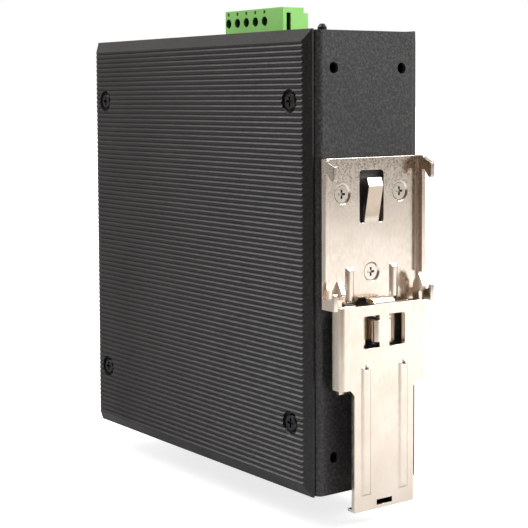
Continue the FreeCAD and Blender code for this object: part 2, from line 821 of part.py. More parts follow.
def bracket_screws():
    """Countersunk screws that sit a little below the bracket's plate."""
    sink = "(clip_sheet - clip_head_face) / (clip_mouth_radius - screw_radius)"
    rise = f"((clip_head_radius - screw_radius) * {sink})"
    screws = []
    for x, z in CLIP_SCREWS:
        seat = clip_y("(clip_head_face + thread_gap)")
        head = taper("+Y", (x, seat, z), ("screw_radius", "clip_head_radius"), rise)
        shank = rod("-Y", (x, seat, z), "screw_radius", "clip_head_face + 2 * sheet + 1")
        drive = cross_slot("+Y", (x, f"{seat} + {rise}", z), "clip_head_radius * 1.1", "0.6")
        screws.append(less(fused([head, shank]), [drive]))
    keep(gathered(screws), "bracket_screws")


def slider_fold(body):
    """The slider's face with its narrower pull, and the two flanges with wedge ears."""
    face = clip_y("slider_face")
    turn = "(pull_half + clip_sheet)"
    front = polygon_sketch(body, "XZ", f"-{face}", [
        ("-slider_half", SLIDER_TOP),
        ("-slider_half", SHOULDER),
        (f"-{turn}", SHOULDER),
        ("-pull_half", f"{SHOULDER} - clip_sheet"),
        ("-pull_half", PULL_FOOT),
        ("pull_half", PULL_FOOT),
        ("pull_half", f"{SHOULDER} - clip_sheet"),
        (turn, SHOULDER),
        ("slider_half", SHOULDER),
        ("slider_half", SLIDER_TOP),
    ])
    pad(body, front, "clip_sheet")
    mid = clip_y("(slider_face - clip_sheet / 2)")
    inside = clip_y("(slider_face - clip_sheet)")
    side = [
        (clip_y("slider_back"), SHOULDER),
        (mid, SHOULDER),
        (mid, SLIDER_TOP),
        (inside, SLIDER_TOP),
        (inside, f"{RAIL_FOOT} + ear_nose - 1.5"),
        (clip_y("hook_reach"), f"{RAIL_FOOT} + ear_nose"),
        (clip_y("(hook_reach - 0.2)"), f"{RAIL_FOOT} + ear_nose + 0.7"),
        (clip_y("(hook_reach - 2)"), EAR_TOP),
        (clip_y("(hook_reach - 2.6)"), EAR_TOP),
        (clip_y("slider_back"), f"{EAR_TOP} - 3"),
    ]
    for start in ("-slider_half", "slider_half - clip_sheet"):
        pad(body, polygon_sketch(body, "YZ", start, side), "clip_sheet")
    half = number("slider_half")
    corners = [upright_at(x, number(face)) for x in (half, -half)]
    round_edges(body, "clip_sheet", any_of(*corners))


def slider_flaps(body):
    """Two windows; the strip at each inner edge is folded in and hooks behind the tail."""
    face = clip_y("slider_face")
    behind = clip_y("(tail_step - slide_gap)")
    flap_low = f"({FLAP_FOOT} + flap_relief)"
    for sign in ("-", ""):
        inner = f"{sign}flap_inner"
        outer = f"{sign}flap_outer"
        hole = polygon_sketch(body, "XZ", f"-{face}", rectangle(
            inner, outer, FLAP_FOOT, f"{FLAP_FOOT} + flap_window"))
        pocket(body, hole, "clip_sheet")
        corners = [crosswise_at(number(outer), number(z))
                   for z in (FLAP_FOOT, f"{FLAP_FOOT} + flap_window")]
        round_edges(body, "clip_sheet / 2", any_of(*corners))
        edge = f"{sign}(flap_inner + clip_sheet)"
        flap = polygon_sketch(body, "XY", flap_low, [
            (f"{sign}(flap_inner - 0.2)", face),
            (f"{sign}flap_inner", f"{behind} - clip_sheet"),
            (edge, f"{behind} - clip_sheet"),
            (edge, face),
        ])
        pad(body, flap, "flap_window - 2 * flap_relief")
        bend = upright_at(number(edge), number(face))
        round_edges(body, "clip_sheet * 0.95", bend)
        foot = polygon_sketch(body, "XY", flap_low, rectangle(
            f"{sign}(flap_inner + clip_sheet / 2)",
            f"{sign}(flap_inner + clip_sheet + flap_foot_reach)",
            f"{behind} - clip_sheet", behind))
        pad(body, foot, f"{TAIL_BEND} - slide_gap - {flap_low}")


def slider_tab(body):
    """The rounded tab, bent in from the top edge, that rests on the spring."""
    face = clip_y("slider_face")
    shelf = polygon_sketch(body, "XY", f"{TAB_TOP} - clip_sheet", [
        ("-tab_half", face),
        ("-tab_half", clip_y("(clip_sheet + 2)")),
        ("-tab_half * 0.8", clip_y("(clip_sheet + 0.9)")),
        ("-tab_half * 0.4", clip_y("(clip_sheet + slide_gap)")),
        ("tab_half * 0.4", clip_y("(clip_sheet + slide_gap)")),
        ("tab_half * 0.8", clip_y("(clip_sheet + 0.9)")),
        ("tab_half", clip_y("(clip_sheet + 2)")),
        ("tab_half", face),
    ])
    pad(body, shelf, "clip_sheet")
    neck = polygon_sketch(body, "XZ", f"-{face}", rectangle(
        "-tab_half", "tab_half", f"{SLIDER_TOP} - 0.5", f"{TAB_TOP} - clip_sheet / 2"))
    pad(body, neck, "clip_sheet")
    top = number(TAB_TOP)
    out = number(face)

    def brow(edge):
        ends = [vertex.Point for vertex in edge.Vertexes]
        return len(ends) == 2 and all(math.hypot(end.y - out, end.z - top) < 0.01 for end in ends)

    round_edges(body, "clip_sheet * 0.95", brow)


def slider_pull(body):
    """The lip along the pull's lower edge, the screwdriver slot and the two ribs."""
    face = clip_y("slider_face")
    lip = polygon_sketch(body, "YZ", "-pull_half", rectangle(
        clip_y("(slider_face - pull_lip)"), clip_y("(slider_face - clip_sheet / 2)"),
        PULL_FOOT, f"{PULL_FOOT} + 0.6 * clip_sheet"))
    pad(body, lip, "2 * pull_half")
    slot = polygon_sketch(body, "XZ", f"-{face}", rectangle(
        "-pull_slot_half", "pull_slot_half",
        f"{PULL_FOOT} + 0.7 * clip_sheet", f"{PULL_FOOT} + 0.7 * clip_sheet + pull_slot_height"))
    pocket(body, slot, "clip_sheet")
    rib_top = f"({SLIDER_TOP} - slider_rib_drop)"
    for x in ("(-slider_rib_side)", "slider_rib_side"):
        spans = (f"{PULL_FOOT} + slider_rib_end", rib_top)
        rib(body, x, spans, face, "slider_rib_width", "slider_rib_height")
    dimples = circle_sketch(body, "XZ", f"-{clip_y('(slider_face + slider_rib_height)')}",
                            [(x, f"{rib_top} - 0.4") for x in ("-slider_rib_side", "slider_rib_side")],
                            "dimple_radius")
    pocket(body, dimples, "slider_rib_height * 1.5")


def release_slider():
    """The moving half of the clip: a folded sheet that a screwdriver pulls down.

    The wedge ears snap under the rail's lower edge, and the spring pushes them back up.
    """
    body = new_body("release_slider")
    slider_fold(body)
    slider_flaps(body)
    slider_tab(body)
    slider_pull(body)
    return keep(body, "release_slider")


def slider_spring():
    """A compression coil between the tail's nib and the slider's tab, from flat facets."""
    foot = number(SPRING_SEAT)
    top = number(f"{TAB_TOP} - clip_sheet - slide_gap")
    wire = number("spring_wire") / 2
    radius = number("spring_radius")
    steps = 12
    coils = int(number("spring_coils"))
    rise = top - foot - 2 * wire
    sides = 5
    rings = []
    for step in range(coils * steps + 1):
        turn = 2 * math.pi * step / steps
        out = FreeCAD.Vector(math.cos(turn), math.sin(turn), 0)
        middle = out * radius + FreeCAD.Vector(0, 0, foot + wire + rise * step / (coils * steps))
        corners = []
        for side in range(sides):
            angle = 2 * math.pi * side / sides
            across = out * (wire * math.cos(angle))
            corners.append(middle + across + FreeCAD.Vector(0, 0, wire * math.sin(angle)))
        rings.append(corners)
    faces = [facet(rings[0]), facet(rings[-1])]
    for low, high in zip(rings, rings[1:]):
        for side in range(sides):
            following = (side + 1) % sides
            faces.append(facet([low[side], low[following], high[following]]))
            faces.append(facet([low[side], high[following], high[side]]))
    coil = Part.makeSolid(Part.makeShell(faces))
    coil.translate(FreeCAD.Vector(0, number(clip_y("(tail_step + clip_sheet / 2)")), 0))
    spring = doc.addObject("Part::Feature", "Spring")
    spring.Shape = Part.makeCompound([coil])
    keep(spring, "slider_spring")


def facet(corners):
    return Part.Face(Part.makePolygon(corners + corners[:1]))


# ---- board and components --------------------------------------------------

BOARD_LOW = "board_margin"
BOARD_HIGH = "(case_height - board_margin)"
BOARD_Y = (f"(-({PANEL}) + board_front_gap)", f"({PANEL} - board_back_gap)")
BOARD_SCREWS = [
    (y, z)
    for y in (f"{BOARD_Y[0]} + 4.5 * board_hole_side", f"{BOARD_Y[1]} - board_hole_side")
    for z in (f"{BOARD_LOW} + board_hole_side * 0.7", f"{BOARD_HIGH} - 1.5 * board_hole_side")
]


def main_board():
    body = new_body("main_board")
    outline = polygon_sketch(body, "YZ", BOARD_BACK, rectangle(
        *BOARD_Y, BOARD_LOW, BOARD_HIGH))
    pad(body, outline, "board")
    holes = circle_sketch(body, "YZ", BOARD_BACK, BOARD_SCREWS, "screw_radius + 4 * thread_gap")
    pocket(body, holes, "board")
    keep(body, "main_board")


def board_standoffs():
    wall = f"(-({WALL}) + sheet)"
    posts = []
    for y, z in BOARD_SCREWS:
        post = rod("+X", (wall, y, z), "standoff_radius", "standoff")
        posts.append(less(post, [rod("+X", (wall, y, z), THREAD, "standoff")]))
    keep(gathered(posts), "board_standoffs")


def board_screws():
    head = ("2.6", "1.8")
    length = "board + standoff - 0.5"
    screws = [pan_screw("+X", (BOARD_FACE, y, z), head, length) for y, z in BOARD_SCREWS]
    keep(gathered(screws), "board_screws")


def jack(index):
    """A shielded modular socket, open to the front, its latch notch away from the board."""
    body = new_body(f"rj45_jack_{index + 1}")
    middle = PORT_CENTRE.format(index)
    front = f"{PANEL} + fit_gap"
    shell = polygon_sketch(body, "XZ", front, rectangle(
        JACK_LOW, f"{JACK_LOW} + jack_height",
        f"{middle} - jack_width / 2", f"{middle} + jack_width / 2"))
    pad(body, shell, "jack_length", reverse=True)
    ledge = f"{JACK_FLOOR} + plug_room"
    step = f"{ledge} + latch_step"
    notch = f"{step} + latch_step"
    mouth = polygon_sketch(body, "XZ", front, [
        (JACK_FLOOR, f"{middle} - plug_width / 2"),
        (ledge, f"{middle} - plug_width / 2"),
        (ledge, f"{middle} - latch_notch"),
        (step, f"{middle} - latch_notch"),
        (step, f"{middle} - latch_notch / 2"),
        (notch, f"{middle} - latch_notch / 2"),
        (notch, f"{middle} + latch_notch / 2"),
        (step, f"{middle} + latch_notch / 2"),
        (step, f"{middle} + latch_notch"),
        (ledge, f"{middle} + latch_notch"),
        (ledge, f"{middle} + plug_width / 2"),
        (JACK_FLOOR, f"{middle} + plug_width / 2"),
    ])
    pocket(body, mouth, "jack_cavity", reverse=True)
    keep(body, f"rj45_jack_{index + 1}")


def jack_contacts():
    """Eight spring contacts on the floor of each socket, rising towards the back."""
    contacts = []
    front = f"(-({PANEL}) - fit_gap + contact_setback)"
    for port in range(int(number("port_count"))):
        for pin in range(8):
            z = f"{PORT_CENTRE.format(port)} + {pin - 3.5} * contact_pitch - contact_size / 2"
            wire = doc.addObject("Part::Wedge", "Contact")
            bind(wire, Xmin="0", Xmax="contact_rise", Ymin="0", Ymax="jack_cavity - contact_setback")
            bind(wire, Zmin="0", Zmax="contact_size", Z2min="0", Z2max="contact_size")
            bind(wire, X2min="contact_rise - contact_size", X2max="contact_rise")
            place(wire, JACK_FLOOR, front, z)
            contacts.append(wire)
    keep(gathered(contacts), "jack_contacts")


def status_leds():
    """Right-angle lamp holders at the board's front edge, their lenses in the panel."""
    holders = []
    lenses = []
    base_y = f"({BOARD_Y[0]} + 0.5)"
    for index in range(3):
        z = LED_CENTRE.format(index)
        holders.append(box((BOARD_FACE, f"{LED_X} + led_holder / 2"),
                           (base_y, f"{base_y} + led_holder_length"),
                           (f"{z} - led_holder / 2", f"{z} + led_holder / 2")))
        lenses.append(rod("-Y", (LED_X, base_y, z), "led_radius", f"{base_y} + {PANEL} + led_dome"))
    keep(gathered(holders), "led_holders")
    keep(gathered(lenses), "led_lenses")


def block_on_board(rise, front, length, low, height):
    """A rectangular component that stands on the board's component side."""
    return box((BOARD_FACE, f"{BOARD_FACE} + {rise}"), (front, f"{front} + {length}"),
               (low, f"{low} + {height}"))


def chip_parts():
    """The switching chip, the pad that leads its heat to the wall, and its clock."""
    chip = block_on_board("chip_rise", "chip_front", "chip", "chip_low", "chip")
    keep(gathered([chip]), "switch_chip")
    wall = f"(-({WALL}) + sheet)"
    heat_pad = box((wall, BOARD_BACK), ("chip_front - pad_margin", "chip_front + chip + pad_margin"),
                   ("chip_low - pad_margin", "chip_low + chip + pad_margin"))
    keep(gathered([heat_pad]), "thermal_pad")
    crystal = block_on_board("crystal_rise", "chip_front - 2 * crystal_width", "crystal_width",
                             "chip_low + chip / 2", "crystal_length")
    keep(gathered([crystal]), "clock_crystal")


def power_parts():
    """Input capacitors, the converter's coil and the fault relay by the terminals."""
    cans = []
    for index in range(2):
        y = f"(capacitor_front + {index} * capacitor_pitch)"
        start = (BOARD_FACE, y, "capacitor_low")
        cans.append(rod("+X", start, "capacitor_radius", "capacitor_length"))
    keep(gathered(cans), "bulk_capacitors")
    core = block_on_board("coil_rise", "coil_front", "coil", "coil_low", "coil")
    well = rod("+X", (f"{BOARD_FACE} + coil_rise - 1", "coil_front + coil / 2",
                      "coil_low + coil / 2"), "0.375 * coil", "2")
    keep(less(core, [well]), "power_inductor")
    relay = block_on_board("relay_rise", "relay_front", "relay_length", "relay_low", "relay_width")
    keep(gathered([relay]), "fault_relay")


# ---- screw terminals -------------------------------------------------------

PLUG_LOW = f"({CASE_TOP} - plug_tongue)"
PLUG_TOP = f"({CASE_TOP} + plug_top)"
PLUG_END = "(plug_start + plug_length)"
TONGUE_X = (f"({HEADER_X[0]} + header_wall + fit_gap)", f"({HEADER_X[1]} - header_wall - fit_gap)")
TONGUE_MIDDLE = f"(({TONGUE_X[0]} + {TONGUE_X[1]}) / 2)"
SHAFT_Z = f"({PLUG_TOP} - plug_screw_drop)"


def terminal_header():
    """The fixed socket for the plug, an open box that stands up into the top plate."""
    ends = ("plug_start - header_wall", f"{PLUG_END} + header_wall")
    shell = box(HEADER_X, ends, (f"{PLUG_LOW} - header_floor", CASE_TOP))
    hollow = box((f"{HEADER_X[0]} + header_wall", f"{HEADER_X[1]} - header_wall"),
                 ("plug_start", PLUG_END), (f"{PLUG_LOW} - fit_gap", CASE_TOP))
    keep(less(shell, [hollow]), "terminal_header")


def pole_y(index):
    return f"(plug_start + first_pole + {index} * pole_pitch)"


def header_pins():
    pins = []
    foot = f"({PLUG_LOW} - fit_gap)"
    for index in range(int(number("pole_count"))):
        y = pole_y(index)
        pins.append(box((f"{TONGUE_MIDDLE} - pin / 2", f"{TONGUE_MIDDLE} + pin / 2"),
                        (f"{y} - pin / 2", f"{y} + pin / 2"), (foot, f"{foot} + pin_length")))
    keep(gathered(pins), "header_pins")


def terminal_plug():
    """The green plug: its screw shafts face +X, and the wires go in from above."""
    body = new_body("terminal_plug")
    back = "(plug_face - plug_depth)"
    low = f"{CASE_TOP} + fit_gap"
    section = polygon_sketch(body, "XZ", f"-{PLUG_END}", [
        (f"{back} - plug_ledge", low),
        ("plug_face", low),
        ("plug_face", PLUG_TOP),
        (back, PLUG_TOP),
        (back, f"{PLUG_TOP} - plug_ledge_drop"),
        (f"{back} - plug_ledge", f"{PLUG_TOP} - plug_ledge_drop"),
    ])
    pad(body, section, "plug_length")
    tongue = polygon_sketch(body, "XY", PLUG_LOW, rectangle(
        *TONGUE_X, "plug_start + fit_gap", f"{PLUG_END} - fit_gap"))
    pad(body, tongue, "plug_tongue + 2 * fit_gap")
    poles = [pole_y(index) for index in range(int(number("pole_count")))]
    shafts = circle_sketch(body, "YZ", "plug_face", [(y, SHAFT_Z) for y in poles],
                           "plug_screw_radius")
    pocket(body, shafts, "plug_depth * 0.45", reverse=True)
    for y in poles:
        mark = polygon_sketch(body, "YZ", "plug_face", rectangle(
            f"{y} - pin / 2", f"{y} + pin / 2",
            f"{PLUG_TOP} - plug_mark_drop - pin / 2", f"{PLUG_TOP} - plug_mark_drop + pin / 2"))
        pocket(body, mark, "pin / 2", reverse=True)
        wire = polygon_sketch(body, "XY", PLUG_TOP, rectangle(
            f"{back} + header_wall", f"{back} + header_wall + wire_width",
            f"{y} - wire_width / 2", f"{y} + wire_width / 2"))
        pocket(body, wire, "wire_depth", reverse=True)
        pin_way = polygon_sketch(body, "XY", PLUG_LOW, rectangle(
            f"{TONGUE_MIDDLE} - pin / 2 - fit_gap", f"{TONGUE_MIDDLE} + pin / 2 + fit_gap",
            f"{y} - pin / 2 - fit_gap", f"{y} + pin / 2 + fit_gap"))
        pocket(body, pin_way, "pin_length + fit_gap")
    key = polygon_sketch(body, "XZ", f"-{PLUG_END}", rectangle(
        "plug_face - key_side - key_width / 2", "plug_face - key_side + key_width / 2",
        f"{PLUG_TOP} - key_drop - key_height", f"{PLUG_TOP} - key_drop"))
    pocket(body, key, "key_width * 1.5")
    keep(body, "terminal_plug")


def clamp_screws():
    """One slotted clamp screw at the bottom of each shaft in the plug."""
    screws = []
    seat = "plug_face - plug_depth * 0.45"
    for index in range(int(number("pole_count"))):
        y = pole_y(index)
        head = rod("+X", (seat, y, SHAFT_Z), "plug_screw_radius - 4 * thread_gap", "1.4")
        slot = box((f"{seat} + 0.9", f"{seat} + 1.4"), (f"{y} - 2", f"{y} + 2"),
                   (f"{SHAFT_Z} - 0.25", f"{SHAFT_Z} + 0.25"))
        screws.append(less(head, [slot]))
    keep(gathered(screws), "clamp_screws")


cover("left_cover", -1)
cover("right_cover", 1)
rear_chassis()
front_frame()
cover_screws()
frame_screws()
rail_bracket()
bracket_screws()
release_slider()
slider_spring()
main_board()
board_standoffs()
board_screws()
for port in range(int(number("port_count"))):
    jack(port)
jack_contacts()
status_leds()
chip_parts()
power_parts()
terminal_header()
header_pins()
terminal_plug()
clamp_screws()

doc.recompute()
for thing in doc.Objects:
    if "Invalid" in thing.State or "Error" in thing.State:
        raise ValueError(f"{thing.Name} failed: {thing.State}")
for node in nodes:
    if node.Shape.isNull() or not node.Shape.isValid():
        raise ValueError(f"{node.Label} has no valid shape")
os.makedirs("parts", exist_ok=True)
for node in nodes:
    node.Shape.exportStep(f"parts/{node.Label}.step")
    solids = len(node.Shape.Solids)
    print(f"{node.Label}: {solids} solids, {node.Shape.Volume:.0f} cubic mm")
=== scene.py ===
import json
import math

import bmesh
import bpy
from mathutils import Matrix, Vector


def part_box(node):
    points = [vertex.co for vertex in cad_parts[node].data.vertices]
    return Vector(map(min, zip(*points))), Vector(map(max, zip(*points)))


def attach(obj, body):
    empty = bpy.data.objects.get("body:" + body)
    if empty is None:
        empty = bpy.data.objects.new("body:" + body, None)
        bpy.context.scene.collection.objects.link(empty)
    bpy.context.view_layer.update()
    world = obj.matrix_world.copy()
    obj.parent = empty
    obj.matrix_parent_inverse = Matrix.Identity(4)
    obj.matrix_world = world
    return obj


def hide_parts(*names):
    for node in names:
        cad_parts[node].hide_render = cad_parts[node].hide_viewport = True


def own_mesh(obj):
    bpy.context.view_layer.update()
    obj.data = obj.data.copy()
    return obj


# The looks of an industrial rail switch: black powder-coated covers and case, a
# nickel-plated rail clip and a light green terminal plug.
# Everything is in metres, in the model's own frame: +Y is the clip's side, +Z is up.

MM = 0.001

# The clip's sheet, its spring and the travel of its slider.
SHEET = 1.5 * MM
SPRING_WIRE = 0.45 * MM
SLIDE_TRAVEL = 6 * MM

# How far edges are rounded, and where the pressed ribs' crests are: to each side,
# out from the sheet, and in height.
BROKEN_EDGE = 0.12 * MM
PLUG_EDGE = 0.15 * MM
SHARP_TURN = math.radians(28)
FLAT_TURN = math.radians(0.5)
MERGE_DISTANCE = 0.002 * MM
RIB_RISE = 0.8 * MM
CREST_MARGIN = 0.1 * MM
BRACKET_RIB_SIDE = (6.5 * MM, 10.3 * MM)
BRACKET_RIB_HEIGHT = (-21 * MM, -9 * MM)
BRACKET_RIB_ROUND = 0.5 * MM
SLIDER_RIB_SIDE = (5.0 * MM, 9.2 * MM)
SLIDER_RIB_HEIGHT = (-75.5 * MM, -37 * MM)
SLIDER_RIB_ROUND = 0.35 * MM

# Where a finish or painted light comes in and goes out: the plate's frosting, the covers' lands
# and painted groove highlights, which change towards the clip, and the painted shade patch on the
# clip's tongue along each axis.
FROST_HEIGHT = (4 * MM, 20 * MM)
CLIPWARD_DEPTH = (-105 * MM, -20 * MM)
TONGUE_SHADE_PATCH = {
    "Y": ((-2.15 * MM, -1.9 * MM), (-0.1 * MM, 0.0)),
    "Z": ((3.4 * MM, 4.0 * MM), (13.3 * MM, 13.5 * MM)),
    "X": ((-2.9 * MM, -2.8 * MM), (2.8 * MM, 2.9 * MM)),
}

# The camera, and the studio, which has a dim side for the gloss.
CAMERA_LENS = 92.81
CAMERA_SHIFT = (0.0642, -0.1625)
CAMERA_PLACE = Vector((0.26052, 0.29463, 0.0401))
CAMERA_AZIMUTH = math.radians(35.321)
CAMERA_DROP = math.radians(3.523)
CAMERA_ROLL = math.radians(-0.342)
DIM_SIDE = (0.658, 0.745, 0.1)
DIM_TINT = (0.16, 0.11, 0.075)
EVEN_LIGHT = 0.65

# The floor: its reach each way, and its glow by the distance from the rail seat.
FLOOR_REACH = 9
FLOOR_GLOW = ((0.1, 0.72), (0.6, 1.0))

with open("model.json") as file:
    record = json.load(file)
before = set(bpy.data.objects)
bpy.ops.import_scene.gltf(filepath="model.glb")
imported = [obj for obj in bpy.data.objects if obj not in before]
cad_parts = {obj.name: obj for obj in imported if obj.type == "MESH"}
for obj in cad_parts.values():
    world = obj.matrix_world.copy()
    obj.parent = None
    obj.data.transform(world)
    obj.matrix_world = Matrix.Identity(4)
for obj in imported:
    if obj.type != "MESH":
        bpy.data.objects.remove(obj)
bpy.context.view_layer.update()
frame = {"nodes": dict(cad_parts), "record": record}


# ---- node materials ----------------------------------------------------------

class Network:
    """A node tree, with short calls for the nodes that are used most."""

    def __init__(self, tree, place="Object"):
        self.tree = tree
        self.place = self.add("ShaderNodeTexCoord").outputs[place]

    def add(self, kind, **settings):
        """A node with its sockets or settings given by name."""
        node = self.tree.nodes.new(kind)
        for key, value in settings.items():
            if key in node.inputs:
                node.inputs[key].default_value = value
            else:
                setattr(node, key, value)
        return node

    def link(self, source, target):
        self.tree.links.new(source, target)

    def stretched(self, scale):
        """The place vector, scaled along each axis."""
        mapping = self.add("ShaderNodeMapping")
        mapping.inputs["Scale"].default_value = scale
        self.link(self.place, mapping.inputs["Vector"])
        return mapping.outputs["Vector"]

    def noise(self, per_metre, detail=3.0, roughness=0.5, scale=(1, 1, 1)):
        """Fractal noise with so many waves to a metre."""
        node = self.add("ShaderNodeTexNoise", Scale=per_metre, Detail=detail, Roughness=roughness)
        self.link(self.stretched(scale), node.inputs["Vector"])
        return node.outputs["Fac"]

    def ramp(self, source, *stops):
        """A colour ramp of (position, colour or grey level) stops."""
        node = self.add("ShaderNodeValToRGB")
        band = node.color_ramp
        while len(band.elements) < len(stops):
            band.elements.new(0.5)
        for element, (position, color) in zip(band.elements, stops):
            element.position = position
            element.color = grey(color) if isinstance(color, (int, float)) else (*color, 1)
        self.link(source, node.inputs["Fac"])
        return node.outputs["Color"]

    def span(self, source, low, high, to_low, to_high):
        """The source's stretch from low to high, as a clamped stretch of its own."""
        node = self.add("ShaderNodeMapRange", clamp=True)
        node.inputs["From Min"].default_value = low
        node.inputs["From Max"].default_value = high
        node.inputs["To Min"].default_value = to_low
        node.inputs["To Max"].default_value = to_high
        self.link(source, node.inputs["Value"])
        return node.outputs["Result"]

    def axis(self, letter):
        """The place along X, Y or Z."""
        node = self.add("ShaderNodeSeparateXYZ")
        self.link(self.place, node.inputs["Vector"])
        return node.outputs[letter]

    def band(self, letter, rise, fall):
        """1 between two places along an axis, with a fade at either end."""
        place = self.axis(letter)
        return self.product(self.span(place, *rise, 0, 1), self.span(place, *fall, 1, 0))

    def mix(self, factor, first, second):
        """From the first colour to the second as the factor goes from 0 to 1."""
        node = self.add("ShaderNodeMix", data_type="RGBA")
        self.link(factor, node.inputs[0])
        for socket, value in ((node.inputs[6], first), (node.inputs[7], second)):
            if isinstance(value, bpy.types.NodeSocket):
                self.link(value, socket)
            elif isinstance(value, (int, float)):
                socket.default_value = grey(value)
            else:
                socket.default_value = (*value, 1)
        return node.outputs[2]

    def bump(self, height, distance, strength=1.0, after=None):
        """The normal tilted by a height, on top of an earlier bump if there is one."""
        node = self.add("ShaderNodeBump", Strength=strength, Distance=distance)
        self.link(height, node.inputs["Height"])
        if after:
            self.link(after, node.inputs["Normal"])
        return node.outputs["Normal"]

    def edge_wear_and_highlight(self, radius):
        """Near 1 on sharp convex or concave edges, 0 on flat faces: the mask for edge wear and
        painted edge highlights.
        """
        bevel = self.add("ShaderNodeBevel", samples=4, Radius=radius)
        geometry = self.add("ShaderNodeNewGeometry")
        agreement = self.add("ShaderNodeVectorMath", operation="DOT_PRODUCT")
        self.link(bevel.outputs["Normal"], agreement.inputs[0])
        self.link(geometry.outputs["True Normal"], agreement.inputs[1])
        return self.span(agreement.outputs["Value"], 0.98, 0.82, 0, 1)

    def facing(self, direction):
        """How far the place vector points along a fixed direction, from -1 to 1."""
        node = self.add("ShaderNodeVectorMath", operation="DOT_PRODUCT")
        self.link(self.place, node.inputs[0])
        node.inputs[1].default_value = direction
        return node.outputs["Value"]

    def product(self, first, second):
        """Two factors multiplied."""
        node = self.add("ShaderNodeMath", operation="MULTIPLY")
        self.link(first, node.inputs[0])
        self.link(second, node.inputs[1])
        return node.outputs["Value"]

    def light_path(self, name):
        """1 for rays of one kind, 0 for the others."""
        return self.add("ShaderNodeLightPath").outputs[name]


class Shader(Network):
    """A principled material."""

    def __init__(self, name):
        self.material = bpy.data.materials.new(name)
        self.material.use_nodes = True
        super().__init__(self.material.node_tree)
        self.principled = self.tree.nodes["Principled BSDF"]

    def set(self, **values):
        """Set the shader's own sockets, such as Emission_Strength."""
        for key, value in values.items():
            self.principled.inputs[key.replace("_", " ")].default_value = value

    def crevice_shade(self, reach):
        """1 in slots and crevices narrower than the reach, 0 in the open: the mask for painted
        shade.
        """
        node = self.add("ShaderNodeAmbientOcclusion", samples=8, Distance=reach)
        return self.span(node.outputs["AO"], 0.35, 0.85, 1, 0)

    def finish(self, color, roughness=None, normal=None):
        """Link the colour, roughness and normal, and give the material."""
        self.link(color, self.principled.inputs["Base Color"])
        if roughness:
            self.link(roughness, self.principled.inputs["Roughness"])
        if normal:
            self.link(normal, self.principled.inputs["Normal"])
        return self.material


def grey(level):
    """An opaque colour with one level in each channel."""
    return (level, level, level, 1)


def times(base, factor, lift=0.0):
    """A colour made brighter or darker, no brighter than white."""
    return [min(level * factor + lift, 1) for level in base]


def powder_coat(name, base):
    """Matt black paint with a coarse orange-peel skin and paler wear on edges."""
    shade = Shader(name)
    skin = shade.noise(1300, detail=3.0, roughness=0.6)
    cloud = shade.noise(45, detail=4.0)
    tint = shade.ramp(skin, (0.36, times(base, 0.45)), (0.5, base), (0.66, times(base, 2.3)))
    tint = shade.mix(shade.edge_wear_and_highlight(0.2 * MM), tint, times(base, 4.0))
    rough = shade.span(cloud, 0.3, 0.7, 0.36, 0.46)
    return shade.finish(tint, rough, shade.bump(skin, 0.12 * MM, 0.8))


def nickel_plate(name):
    """Warm nickel over folded steel: fine grain, cloudy tarnish, frosted top, painted shade in
    crevices and on the tongue, painted highlights on the edges.
    """
    shade = Shader(name)
    grain = shade.noise(1300, detail=3.0, scale=(1, 1, 0.4))
    cloud = shade.noise(55, detail=5.0, roughness=0.6)
    tarnished, plain, polished = (0.71, 0.61, 0.51), (0.80, 0.705, 0.61), (0.86, 0.79, 0.71)
    tint = shade.ramp(cloud, (0.3, tarnished), (0.55, plain), (0.8, polished))
    frost = shade.span(shade.axis("Z"), *FROST_HEIGHT, 0, 1)
    pits = shade.ramp(shade.noise(1700, detail=3.0, roughness=0.7), (0.52, 0.0), (0.60, 1.0))
    tint = shade.mix(shade.product(pits, frost), tint, (0.36, 0.30, 0.245))
    # Painted shade: crevices and slots are darkened brown.
    tint = shade.mix(shade.crevice_shade(0.8 * MM), tint, (0.30, 0.22, 0.15))
    # Painted shade: a darker patch on the clip's tongue.
    raised, between, across = (shade.band(letter, *ends) for letter, ends in TONGUE_SHADE_PATCH.items())
    tongue = shade.product(shade.product(raised, between), across)
    tint = shade.mix(tongue, tint, (0.46, 0.38, 0.30))
    specks = shade.ramp(shade.noise(2200, detail=2.0), (0.68, 0.0), (0.78, 0.7))
    tint = shade.mix(specks, tint, (0.55, 0.48, 0.40))
    # Painted highlight: the edges are made nearly white.
    tint = shade.mix(shade.edge_wear_and_highlight(0.3 * MM), tint, (0.95, 0.92, 0.87))
    rough = shade.span(grain, 0.3, 0.7, 0.15, 0.27)
    shade.set(Metallic=1.0)
    normal = shade.bump(grain, 0.02 * MM, 0.4)
    normal = shade.bump(shade.noise(120, detail=2.0), 0.2 * MM, 0.2, after=normal)
    return shade.finish(tint, rough, normal)


def plated_steel(name, base, rough_low=0.22, rough_high=0.38):
    """A small metal part with a fine grain, painted shade in its slots and painted highlights on
    its edges.
    """
    shade = Shader(name)
    brushed = shade.noise(1500, detail=3.0)
    tint = shade.ramp(brushed, (0.25, times(base, 0.75)), (0.7, base))
    # Painted shade: slots and crevices are darkened nearly to black.
    tint = shade.mix(shade.crevice_shade(0.9 * MM), tint, times(base, 0.1))
    # Painted highlight: the edges are made paler.
    tint = shade.mix(shade.edge_wear_and_highlight(0.2 * MM), tint, times(base, 1.25))
    rough = shade.span(brushed, 0.3, 0.7, rough_low, rough_high)
    shade.set(Metallic=1.0)
    return shade.finish(tint, rough, shade.bump(brushed, 0.03 * MM, 0.4))


